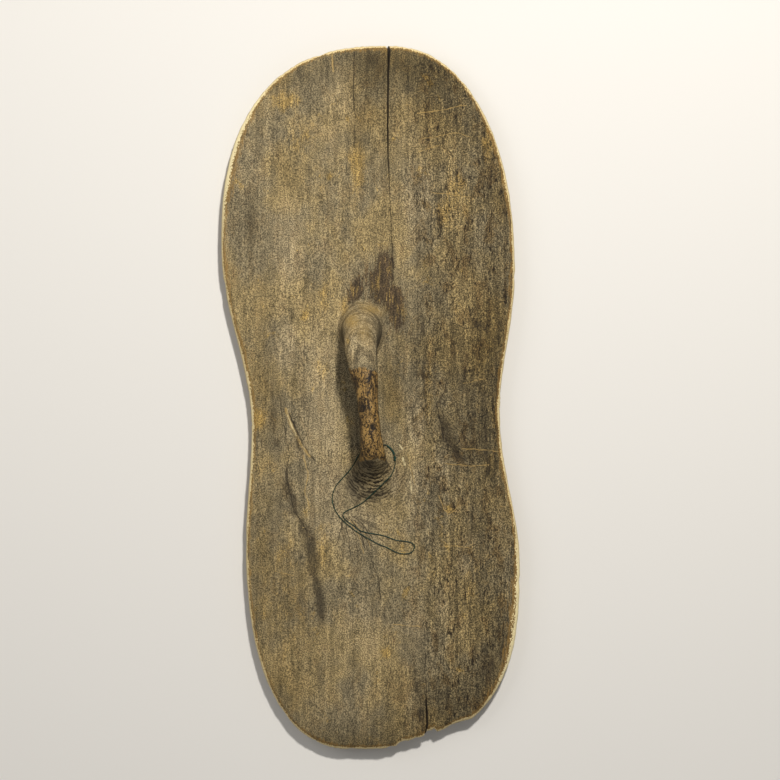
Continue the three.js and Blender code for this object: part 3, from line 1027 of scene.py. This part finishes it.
        # Painted shade: the crack walls are painted near black, as the deep cracks are dark.
        colour = g.mix(g.times(g.mask(Mask.WALL), 0.93), colour, self.soot_and_shade)
        g.feed(g.surface.inputs["Base Color"], colour)
        g.surface.inputs["Specular IOR Level"].default_value = self.specular
        g.feed(g.surface.inputs["Roughness"], g.between(g.mask(Mask.PATINA), 0.85, 0.5))
        height = g.math("ADD", g.times(fibre, 0.3), g.times(grit, 0.55))
        height = g.math("ADD", height, g.times(mottle, 0.9))
        height = g.math("SUBTRACT", height, g.times(flecks, 0.5))
        height = g.math("SUBTRACT", height, g.times(g.math("ADD", rings, arcs), 0.5))
        g.bump(height, self.bump_height, self.bump_strength)
        return g.material

    def _rings(self, g: Graph, at: Socket) -> Socket:
        """The growth rings, as shells round a pith that runs along the board, far under it."""
        flat = g.mapped(g.arrow("SUBTRACT", at, self.pith), (1.0, 0.03, 1.0))
        sway = g.noise(at, (70.0, 45.0, 70.0), 3.0)
        radius = g.math("ADD", g.arrow("LENGTH", flat), g.times(sway, 6 * MM))
        fine, broad = g.wave(radius, self.ring_pitch), g.wave(radius, 2.7 * self.ring_pitch)
        return g.spread(g.math("ADD", g.times(fine, 0.6), g.times(broad, 0.4)), -0.35, 0.8)

    def _arcs(self, g: Graph, at: Socket) -> Socket:
        """The close curved rings round the lower root's foot."""
        flat = g.mapped(g.arrow("SUBTRACT", at, self.arc_centre), (1.25, 1.0, 0.0))
        sway = g.noise(at, (60.0, 60.0, 60.0), 4.0, 0.7)
        radius = g.math("ADD", g.arrow("LENGTH", flat), g.times(sway, 15 * MM))
        fine = g.times(g.wave(radius, self.arc_pitch), 0.5)
        return g.spread(g.torn(fine, (g.noise(at, (150.0, 150.0, 150.0), 3.0), 3.0)), -0.2, 0.5)

    def _rays(self, g: Graph, at: Socket) -> Socket:
        """Dark lines that spread out from one point, where the grain is pulled together."""
        offset = g.arrow("SUBTRACT", at, self.fan_root)
        parts = g.add("ShaderNodeSeparateXYZ")
        g.feed(parts.inputs[0], offset)
        angle = g.math("ARCTAN2", parts.outputs["Y"], parts.outputs["X"])
        length = g.arrow("LENGTH", offset)
        polar = g.add("ShaderNodeCombineXYZ")
        g.feed(polar.inputs["X"], angle)
        g.feed(polar.inputs["Y"], length)
        return g.spread(g.noise(polar.outputs[0], (13.0, 14.0, 1.0), 3.0, 0.6, 0.2), 0.5, 0.62)

    def _polished(self, g: Graph, at: Socket, colour: Socket) -> Socket:
        """The bar's brown hand polish, mottled light and dark."""
        patch = g.noise(at, (150.0, 60.0, 150.0), 4.0, 0.8, 0.6)
        pit = g.noise(at, (420.0, 240.0, 420.0), 3.0, 0.7)
        bar = g.mix(g.spread(g.torn(patch, (pit, 0.8)), 0.42, 0.58), self.patina, self.patina_light)
        bar = g.mix(g.spread(g.torn(patch, (pit, 0.9)), 0.38, 0.48, 0.95, 0.0), bar, self.patina_dark)
        bar = g.cover(bar, self.patina_dark, pit, 0.52, 0.58, 0.95)
        share = g.torn(g.mask(Mask.PATINA), (patch, 0.9))
        return g.mix(g.spread(share, 0.35, 0.65), colour, bar)

    def _drawn(self, g: Graph, at: Socket, marks: Iterable[Line]) -> Socket:
        """Thin marks, slightly uneven in line and strength."""
        stretched = g.mapped(at, (70.0, 70.0, 1.0))
        shaky = g.add("ShaderNodeTexNoise")
        g.feed(shaky.inputs["Vector"], stretched)
        shaky.inputs["Scale"].default_value = 1.0
        shake = g.mapped(g.arrow("SUBTRACT", shaky.outputs["Color"], (0.5, 0.5, 0.5)), (5.0, 5.0, 0.0))
        flat = g.arrow("ADD", g.mapped(at, (1000.0, 1000.0, 0.0)), shake)
        drawn: object = 0.0
        for mark in marks:
            for start, end in zip(mark.bends, mark.bends[1:]):
                gap = self._gap(g, flat, Vector((*start, 0.0)), Vector((*end, 0.0)))
                line = g.spread(gap, mark.half_width * 0.5, mark.half_width * 1.5, 1.0, 0.0)
                drawn = g.math("MAXIMUM", drawn, line)
        return g.times(drawn, g.spread(g.noise(at, (120.0, 120.0, 1.0), 2.0), 0.3, 0.55, 0.3, 1.0))

    @staticmethod
    def _gap(g: Graph, flat: Socket, start: Vector, end: Vector) -> Socket:
        """The distance from a straight line between two places, in millimetres."""
        run = end - start
        offset = g.arrow("SUBTRACT", flat, tuple(start))
        dot = g.arrow("DOT_PRODUCT", offset, tuple(run / run.length_squared))
        share = g.add("ShaderNodeClamp")
        g.feed(share.inputs[0], dot)
        along = g.add("ShaderNodeVectorMath", operation="SCALE")
        along.inputs[0].default_value = tuple(run)
        g.feed(along.inputs["Scale"], share.outputs[0])
        return g.arrow("DISTANCE", offset, along.outputs[0])


@dataclass
class Weathering:
    """Where the wood is worn, stained and dark, and where shade and a highlight are painted on it, as masks
    that are stored on the mesh.
    """

    outline: Outline
    wear: tuple[Smudge, ...]
    stains: tuple[Smudge, ...] = smudges(
        (18, 166, 11, 24), (12, 149, 17, 18), (18, 131, 20, 16, 0.9), (29, 119, 15, 24, 0.9, 8),
        (34, 100, 9, 16, 0.7, 12), (-19, 135, 9, 18, 1, -16),
    )
    golds: tuple[Smudge, ...] = smudges(
        (-17, 294, 13, 40, 0.8), (-108, 377, 22, 15, 0.8, 20), (19, -325, 9, 9, 0.9), (-143, -28, 9, 15),
        (-60, 120, 10, 30, 0.6), (-34, 118, 8, 16, 0.7), (40, 108, 8, 14, 0.6), (8, 140, 4, 22, 0.5),
        (150, 330, 12, 40, 0.6), (104, 250, 26, 40, 0.5), (-90, 330, 34, 34, 0.35),
        (-110, -250, 30, 90, 0.4), (-60, -190, 12, 60, 0.4), (76, 10, 12, 40, 0.5),
        (130, -230, 26, 60, 0.4), (-60, 20, 12, 50, 0.35),
    )
    # Grime patches. The first four, under the bar's end and round the lower root's foot, and (-44, 62) along
    # the upper root's left foot are painted shade.
    grimes_and_shades: tuple[Smudge, ...] = smudges(
        (-4, -86, 17, 12, 0.8), (-16, -102, 11, 20, 0.75, 22), (-25, -110, 9, 24, 0.9, 22),
        (2, -126, 30, 8, 0.95, 6), (30, -112, 6, 14, 0.4, -18), (-75, -200, 11, 42, 0.95, 8),
        (-66, -252, 8, 46, 0.9, 8), (-84, -168, 9, 20, 0.9, 34), (-101, -128, 9, 38, 0.75, 10),
        (-153, 226, 10, 66, 0.52, 4), (-124, -26, 7, 42, 0.6, 3), (97, -40, 13, 34, 0.85, 20),
        (112, -72, 16, 7, 0.4, -24), (-62, -350, 6, 26, 0.45, 12), (120, -60, 12, 50, 0.35),
        (-88, -4, 6, 10, 0.6), (-121, -60, 6, 12, 0.7), (118, 16, 10, 46, 0.5, 18), (140, 92, 14, 6, 0.7),
        (82, -22, 8, 24, 0.5, 6), (70, -400, 6, 26, 0.4), (2, 430, 12, 12, 0.6), (-44, 62, 4, 26, 0.45, 4),
        (30, -190, 8, 14, 0.4), (56, 24, 14, 70, 0.3), (152, -352, 18, 36, 0.5, -34),
    )
    shades: tuple[Smudge, ...] = smudges(
        (152, 40, 36, 130, 0.72), (146, -60, 36, 50, 0.5), (84, 60, 30, 60, 0.2),
        (162, -330, 26, 60, 0.45), (-132, -110, 22, 120, 0.3), (-100, -330, 30, 50, 0.3),
        (160, 260, 26, 100, 0.55, 14), (94, 90, 44, 90, 0.36), (104, -160, 50, 60, 0.2),
        (96, -400, 80, 60, 0.62), (0, -452, 150, 34, 0.75), (-110, -400, 36, 40, 0.5, 40),
        (150, -240, 36, 140, 0.5), (44, 428, 100, 44, 0.85), (96, 370, 60, 60, 0.55),
        # (27, 8) is a painted shadow that the bar casts to its right.
        (-8, 345, 24, 56, 0.45), (27, 8, 14, 44, 0.8), (62, 438, 60, 24, 0.45), (-112, -366, 20, 24, 0.35),
        (-42, 364, 22, 28, 0.28), (-134, 8, 12, 50, 0.45), (160, 60, 15, 110, 0.4),
        (126, 190, 14, 64, 0.4), (-108, 298, 15, 28, 0.35), (-78, 334, 18, 22, 0.25),
        (-110, 410, 60, 30, 0.4, 30), (-152, 226, 9, 56, 0.4, -6), (-92, 282, 26, 36, 0.32),
        (-96, -250, 34, 60, 0.42), (-140, 60, 20, 90, 0.36), (-142, -240, 18, 110, 0.5),
        (10, 60, 40, 60, 0.15), (40, 300, 60, 120, 0.2), (20, -250, 60, 120, 0.22),
    )
    pales: tuple[Smudge, ...] = smudges(
        (-62, -20, 34, 100), (-104, 190, 24, 60, 0.9), (-60, 60, 26, 60, 0.8), (-40, 380, 26, 60, 0.7),
        (-150, 300, 16, 60, 0.6), (-20, -166, 60, 30, 1.3), (60, -120, 18, 50), (-8, -174, 15, 18, 1.6),
        (-8, -268, 14, 28), (58, -395, 13, 26, 1.2), (58, -30, 13, 50, 1.2), (-108, 65, 16, 32, 1.2),
        (30, -106, 10, 20), (-54, -112, 22, 40, 1.4), (58, -298, 15, 30, 1.2), (125, -205, 12, 30, 1.2),
        (62, 250, 20, 60, 1.1), (40, 98, 10, 16), (94, -92, 12, 34, 0.9), (92, -270, 12, 24, 0.6),
        (44, 20, 14, 60, 0.5), (-10, -300, 50, 70, 0.5), (-12, 84, 30, 40, 1.6), (52, 330, 20, 50, 0.5),
    )
    ochres: tuple[Smudge, ...] = smudges(
        (-24, 97, 11, 12, 0.9), (0, 112, 16, 7, 0.8, -14), (-8, 84, 10, 20, 0.45, 10),
        (-30, 74, 4, 14, 0.3),
    )
    fan: Smudge = Smudge(-10, -176, 26, 30, turn=40)
    arc: Smudge = Smudge(4, -108, 34, 32)
    upper_rings: float = 0.5
    polish_top: tuple[float, float] = (42 * MM, 30 * MM)
    polish_bottom: tuple[float, float] = (-84 * MM, -72 * MM)
    polish_slant: float = 0.25
    rim_width: float = 3.2
    rim_wear: float = 6.5

    def paint(self, body: bpy.types.Object) -> None:
        """Stores every mask on the mesh."""
        mesh = body.data
        places = points_of(mesh)
        uneven = wandering(places, WANDER, 12.0)
        x, y, z = places.T
        blotch = grainy(places, (45, 70, 45), 10.0)
        wander = grainy(places, (16, 34, 16), 9.0)
        patchy = 0.85 + 0.8 * grainy(places, (8, 13, 8), 15.0, 2)
        furrows = patchy * np.maximum.reduce([furrow.grime * furrow.at(uneven, 1.5) for furrow in FURROWS])
        off_grip = smooth_step(34 * MM, 28 * MM, z)
        back = smooth_step(10 * MM, 16 * MM, z)
        inset, width = self._rim(places)
        facing_up = points_of(mesh, "normal")[:, 2]
        masks = {
            Mask.STAIN: strongest(self.stains, uneven) * off_grip * back,
            Mask.GOLD: strongest(self.golds, uneven) * back,
            # Grime in patches and furrows, and painted shade at the roots' feet.
            Mask.GRIME_AND_SHADE: np.maximum(strongest(self.grimes_and_shades, uneven), furrows * off_grip) * back,
            Mask.SHADE: self._shade(uneven, blotch) * back,
            Mask.PALE: strongest(self.pales, uneven) * (1 + 0.5 * blotch),
            Mask.OCHRE: strongest(self.ochres, uneven) * back,
            Mask.ROUGH: (smooth_step(-5 * MM, 130 * MM, x) + 0.4 * blotch) * (0.25 + 0.75 * off_grip),
            Mask.ROOT: self._root(places),
            Mask.ARC: self.arc.at(uneven) * smooth_step(-72 * MM, -88 * MM, y),
            # Painted shade on the grip's steep sides, above the board.
            Mask.STEEP_SHADE: smooth_step(0.55, 0.1, facing_up) * smooth_step(27 * MM, 33 * MM, z),
            Mask.FAN: self.fan.at(uneven) * off_grip,
            Mask.PATINA: self._patina(places, wander),
            Mask.RIM: 1.25 - np.maximum(inset, 0) / (width * (1 + 0.4 * wander)),
            Mask.EDGE: 1.15 - np.maximum(inset, 0) / (2.8 * width * (1 + 0.4 * blotch)),
            # Painted highlight on the rim where it is most worn.
            Mask.BARE_AND_HIGHLIGHT: strongest(self.wear, places),
        }
        for mask, values in masks.items():
            attribute = mesh.attributes.new(mask.value, "FLOAT", "POINT")
            attribute.data.foreach_set("value", np.clip(values, 0, MASK_TOP).astype(np.float32))

    def _shade(self, places: np.ndarray, blotch: np.ndarray) -> np.ndarray:
        """How much darker the wood is than its lightest."""
        kept = np.ones(len(places))
        for patch in self.shades:
            kept = kept * (1 - patch.at(places))
        return (1 - kept) * (1 + 0.25 * blotch)

    def _patina(self, places: np.ndarray, wander: np.ndarray) -> np.ndarray:
        """Where hands have polished the bar."""
        x, y, z = places.T
        top = smooth_step(*self.polish_top, y + 7 * MM * wander + self.polish_slant * (x + 10 * MM))
        bottom = smooth_step(*self.polish_bottom, y + 4 * MM * wander)
        return smooth_step(*BAR_FOOT, z) * top * bottom

    def _root(self, places: np.ndarray) -> np.ndarray:
        """How strongly the growth rings show, on the grip's upper root."""
        y, z = places[:, 1], places[:, 2]
        raised = smooth_step(23.5 * MM, 30 * MM, z)
        return self.upper_rings * raised * smooth_step(20 * MM, 40 * MM, y)

    def _rim(self, places: np.ndarray) -> tuple[np.ndarray, np.ndarray]:
        """How far each point is inside the outline, and how wide the rim is worn there."""
        x, y, _ = places.T
        left = x - self.outline.side_x(self.outline.left, y)
        right = self.outline.side_x(self.outline.right, y) - x
        top = self.outline.end_y(1, x) - y
        bottom = y - self.outline.end_y(-1, x) - sum(loss.at(x) for loss in self.outline.losses)
        inset = np.minimum(np.minimum(left, right), np.minimum(top, bottom))
        return inset, (self.rim_width + self.rim_wear * strongest(self.wear, places)) * MM


@dataclass
class Shield:
    """The whole carved piece."""

    board: Board = field(default_factory=Board)
    grip: Grip = field(default_factory=Grip)
    relief: Relief = field(default_factory=Relief)
    finish: WeatheredWood = field(default_factory=WeatheredWood)
    cracks: tuple[Crack, ...] = (
        Crack(
            "top_crack",
            (
                (24, 458, 2.4), (23, 430, 1.6), (22, 405, 1.25), (22, 356, 1.1), (22.5, 318, 0.9),
                (24, 283, 0.55), (26, 242, 0.4), (28, 198, 0.3), (28.5, 176, 0.1),
            ),
        ),
        Crack(
            "bottom_crack",
            ((71, -376, 0.1), (71.5, -392, 0.9), (72, -410, 1.2), (72, -465, 1.5)),
            steps=24,
        ),
    )
    root_spots: tuple[Smudge, ...] = smudges((-12, 84, 58, 66), (0, -105, 58, 52))

    def build(self) -> bpy.types.Object:
        """Carves the shield, wears it and dresses it.

        Returns:
            The shield as one object.
        """
        body = self.board.build()
        body.name = body.data.name = "carved_shield"
        work_in(body, self.grip.build(), Joinery.UNION)
        soften(body, self.root_spots, 6)
        self.relief.shape(body)
        mark_faces(body.data, 0.0)
        for crack in self.cracks:
            work_in(body, crack.build(), Joinery.CUT)
        Weathering(self.board.outline, self.board.wear).paint(body)
        body.data.materials.clear()
        body.data.materials.append(self.finish.build())
        body.data.polygons.foreach_set("material_index", [0] * len(body.data.polygons))
        body.data.polygons.foreach_set("use_smooth", [True] * len(body.data.polygons))
        body.data.update()
        return body


# ---- The thread ----


@dataclass(frozen=True)
class GreenThread:
    """Fine dark green twisted thread with a slight sheen, and lighter green on its twist that is partly
    painted highlight.
    """

    base: Colour = shade(5, 26, 20)
    # Lighter green on the twist and in patches: partly the plies' own colour, partly painted highlight.
    light: Colour = shade(34, 82, 66)
    roughness: float = 0.5
    specular: float = 0.3
    bump_height: float = 0.2 * MM
    bump_strength: float = 0.6

    def build(self) -> bpy.types.Material:
        """Makes the finish.

        Returns:
            The material.
        """
        g = Graph("green_thread")
        at = g.add("ShaderNodeTexCoord").outputs["Object"]
        twist = g.noise(at, (1500.0, 1500.0, 1500.0), 2.0)
        tone = g.noise(at, (60.0, 60.0, 60.0), 2.0)
        # Partly painted highlight: lighter green along the twist and in patches.
        colour = g.mix(g.spread(twist, 0.42, 0.65, 0.0, 0.6), self.base, self.light)
        colour = g.mix(g.spread(tone, 0.5, 0.65, 0.0, 0.4), colour, self.light)
        g.feed(g.surface.inputs["Base Color"], colour)
        g.surface.inputs["Roughness"].default_value = self.roughness
        g.surface.inputs["Specular IOR Level"].default_value = self.specular
        g.bump(twist, self.bump_height, self.bump_strength)
        return g.material


@dataclass
class Thread:
    """The thread: from its knot over the lower root, out in a narrow bight, and back through the hand gap."""

    wood: bpy.types.Object
    finish: GreenThread = field(default_factory=GreenThread)
    diameter: float = 1.25 * MM
    clearance: float = 0.1 * MM
    route: tuple[tuple[float, float], ...] = (
        (31.6, -82.4), (30.6, -90), (26.6, -99), (20, -106), (13.7, -112), (2.7, -123), (-10.8, -135),
        (-24, -142), (-32, -146), (-35, -150.5), (-32.5, -156), (-23, -163), (-12.5, -170.5), (-1, -173.6),
        (8.8, -175), (21, -178), (33, -182.5), (48, -184.5), (55, -188), (56, -193), (52, -198.4), (44, -200),
        (33, -198), (21, -191.8), (9, -187), (-3.5, -180), (-15.5, -173), (-26.5, -165), (-37, -155.5),
        (-44, -146), (-48.5, -134), (-48, -123), (-44, -113), (-36.5, -104), (-27.5, -94), (-20.5, -84),
        (-16, -75), (-9, -68), (3, -63.5), (14, -60.5), (22, -62), (28, -68), (30.6, -73.4),
    )
    steps: int = 420
    gap_centre: tuple[float, float] = (2.0, -62.0)
    gap_half: tuple[float, float] = (26.0, 16.0)
    gap_ceiling: float = 40 * MM
    knot_place: tuple[float, float] = (31.2, -78.0)
    wrap_count: int = 11
    wrap_share: float = 0.047
    wrap_lift: float = 0.35 * MM
    wrap_reach: float = 1.0 * MM
    wrap_half: float = 0.42 * MM
    knot_radius: float = 1.6 * MM
    knot_reach: float = 1.25 * MM
    knot_half: float = 0.6 * MM
    # Each of the knot's own turns: how far up y it is, in millimetres, and what it is wound round.
    knot_turns: tuple[tuple[float, Place], ...] = (
        (-2.2, (0.35, 1, 0.1)), (0.0, (-0.5, 1, 0)), (2.0, (0.4, 1, -0.1)), (0.4, (1, 0.35, 0)),
    )
    turn_skew: float = 24.0
    turn_sides: int = 8
    turn_steps: int = 16
    smoothing: int = 3

    def __post_init__(self) -> None:
        """Feels the wood's surface, and lays the thread's line on it."""
        mesh = self.wood.data
        self._tree = BVHTree.FromPolygons(
            [v.co for v in mesh.vertices], [tuple(p.vertices) for p in mesh.polygons]
        )
        self.line = self._centreline()
        self.length = float(np.linalg.norm(np.diff(self.line, axis=0), axis=1).sum())
        self.start = tuple(float(value) for value in self.line[0])

    def _wood_z(self, x: float, y: float) -> float:
        """The height of the wood under a point, or of the board under the bar in the hand gap."""
        in_gap = all(
            abs(value / MM - centre) < half
            for value, centre, half in zip((x, y), self.gap_centre, self.gap_half)
        )
        start = Vector((x, y, self.gap_ceiling if in_gap else 1.0))
        return self._tree.ray_cast(start, Vector((0.0, 0.0, -1.0)))[0].z

    def _lying_z(self, x: float, y: float, radius: float) -> float:
        """The height of the middle of a ball of that radius that lies on the wood."""
        best = self._wood_z(x, y) + radius
        for share in (0.5, 0.95):
            for turn in range(8):
                angle = turn * math.pi / 4
                reach = share * radius
                under = self._wood_z(x + reach * math.cos(angle), y + reach * math.sin(angle))
                best = max(best, under + math.sqrt(radius**2 - reach**2))
        return best

    def _centreline(self) -> np.ndarray:
        """The line that the thread follows, lying on the wood."""
        flat = catmull_rom(np.array(self.route) * MM, np.linspace(0.0, 1.0, self.steps))
        radius = self.diameter / 2 + self.clearance
        z = np.array([self._lying_z(x, y, radius) for x, y in flat])
        for _ in range(self.smoothing):
            z[1:-1] = np.maximum(z[1:-1], (z[:-2] + z[2:]) / 2)
        return np.column_stack([flat, z])

    def build(self) -> bpy.types.Object:
        """Makes the thread as one curve with its real thickness.

        Returns:
            The thread.
        """
        curve = bpy.data.curves.new("green_thread", "CURVE")
        curve.dimensions = "3D"
        curve.bevel_depth = self.diameter / 2
        curve.bevel_resolution = 3
        curve.use_fill_caps = True
        spline = curve.splines.new("POLY")
        spline.points.add(len(self.line) - 1)
        spline.points.foreach_set("co", np.column_stack([self.line, np.ones(len(self.line))]).ravel())
        curve.materials.append(self.finish.build())
        return add_object("green_thread", curve)

    def build_knot(self) -> bpy.types.Object:
        """Makes the knot: close turns round the thread's end, and crossed turns that hold them.

        Returns:
            The knot as one mesh.
        """
        bm = bmesh.new()
        last = len(self.line) - 1
        for turn in range(self.wrap_count):
            i = round(last * (1 - self.wrap_share * (1 - turn / self.wrap_count)))
            middle = Vector(self.line[i]) + Vector((0.0, 0.0, self.wrap_lift))
            along = Vector(self.line[min(i + 3, last)] - self.line[max(i - 3, 0)])
            self._turn(bm, middle, along, self.wrap_reach, self.wrap_half)
        x, y = (value * MM for value in self.knot_place)
        middle = Vector((x, y, self._lying_z(x, y, self.knot_radius)))
        for shift, along in self.knot_turns:
            place = middle + Vector((0.0, shift * MM, 0.0))
            self._turn(bm, place, Vector(along), self.knot_reach, self.knot_half)
        mesh = mesh_of("green_knot", bm)
        mesh.materials.append(bpy.data.materials["green_thread"])
        return add_object("green_knot", mesh)

    def _turn(self, bm: bmesh.types.BMesh, middle: Vector, along: Vector, reach: float, half: float) -> None:
        """Adds one turn of thread to a mesh.

        Args:
            bm: The mesh it is added to.
            middle: The turn's middle.
            along: The way that it is wound round.
            reach: From its middle to the thread's own middle.
            half: Half of the thread's thickness.
        """
        ring = bmesh.new()
        origin = (0, 0, 0)
        section = bmesh.ops.create_circle(ring, segments=self.turn_sides, radius=half)["verts"]
        bmesh.ops.rotate(ring, verts=section, cent=origin, matrix=Matrix.Rotation(math.pi / 2, 3, "X"))
        bmesh.ops.translate(ring, verts=section, vec=(reach, 0.0, 0.0))
        bmesh.ops.spin(
            ring,
            geom=ring.verts[:] + ring.edges[:],
            cent=origin,
            axis=(0, 0, 1),
            angle=2 * math.pi,
            steps=self.turn_steps,
            use_merge=True,
        )
        skew = Matrix.Rotation(math.radians(self.turn_skew), 3, "X")
        for matrix in (skew, along.to_track_quat("Z", "Y").to_matrix()):
            bmesh.ops.rotate(ring, verts=ring.verts, cent=origin, matrix=matrix)
        bmesh.ops.translate(ring, verts=ring.verts, vec=middle)
        spare = bpy.data.meshes.new("turn")
        ring.to_mesh(spare)
        ring.free()
        bm.from_mesh(spare)
        bpy.data.meshes.remove(spare)


# ---- The studio ----


@dataclass
class Studio:
    """A pale floor, soft lights and a camera that looks straight down."""

    view_side: float = 0.9984
    lens: float = 100.0
    sensor: float = 36.0
    aim: tuple[float, float] = (25 * MM, 9.6 * MM)
    aim_z: float = 22 * MM
    floor_size: float = 24.0
    floor_colour: Colour = (0.72, 0.70, 0.67)
    floor_roughness: float = 0.7
    sky: Colour = (1.0, 0.99, 0.97)
    sky_strength: float = 0.2

    def build(self) -> None:
        """Sets up the camera, the floor and the lights."""
        self._camera()
        self._floor()
        self._area("key", (0.55, 1.5, 2.25), 0.2, 73.0, (1.0, 0.97, 0.91))
        self._area("fill", (-1.9, 0.9, 1.7), 1.6, 15.0, (1.0, 0.98, 0.95))
        self._area("low", (0.2, -2.2, 1.9), 1.8, 6.0, (0.96, 0.98, 1.0))
        world = bpy.data.worlds.new("studio")
        world.use_nodes = True
        background = world.node_tree.nodes["Background"]
        background.inputs["Color"].default_value = (*self.sky, 1.0)
        background.inputs["Strength"].default_value = self.sky_strength
        bpy.context.scene.world = world
        bpy.context.scene.view_settings.view_transform = "Standard"

    def _camera(self) -> None:
        """A long lens, so that the view is nearly without perspective."""
        data = bpy.data.cameras.new("camera")
        data.lens, data.sensor_width = self.lens, self.sensor
        made = add_object("camera", data)
        made.location = (*self.aim, self.aim_z + self.view_side * self.lens / self.sensor)
        bpy.context.scene.camera = made

    def _floor(self) -> None:
        """A plain pale floor."""
        bm = bmesh.new()
        bmesh.ops.create_grid(bm, x_segments=1, y_segments=1, size=self.floor_size / 2)
        floor = add_object("floor", mesh_of("floor", bm))
        g = Graph("pale_floor")
        g.surface.inputs["Base Color"].default_value = (*self.floor_colour, 1.0)
        g.surface.inputs["Roughness"].default_value = self.floor_roughness
        floor.data.materials.append(g.material)

    @staticmethod
    def _area(name: str, place: Place, size: float, power: float, colour: Colour) -> None:
        """A square soft light that faces the shield."""
        data = bpy.data.lights.new(name, "AREA")
        data.size, data.energy, data.color = size, power, colour
        made = add_object(name, data)
        made.location = place
        made.rotation_euler = (-Vector(place)).to_track_quat("-Z", "Y").to_euler()


# ---- All of it ----


def main() -> None:
    """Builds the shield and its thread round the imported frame."""
    logging.basicConfig(level=logging.INFO, format="%(name)s: %(message)s")
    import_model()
    Studio().build()

    shield = Shield().build()
    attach(shield, BODY)
    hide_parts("shield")
    shield.data.calc_loop_triangles()
    LOG.info("%s: %d triangles", shield.name, len(shield.data.loop_triangles))

    maker = Thread(shield)
    thread = maker.build()
    knot = maker.build_knot()
    for piece, node in ((thread, "tag_thread"), (knot, "thread_knot")):
        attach(piece, BODY)
        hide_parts(node)
    LOG.info("%s: %.3f m long, tied by %s", thread.name, maker.length, knot.name)


if __name__ == "__main__":
    main()
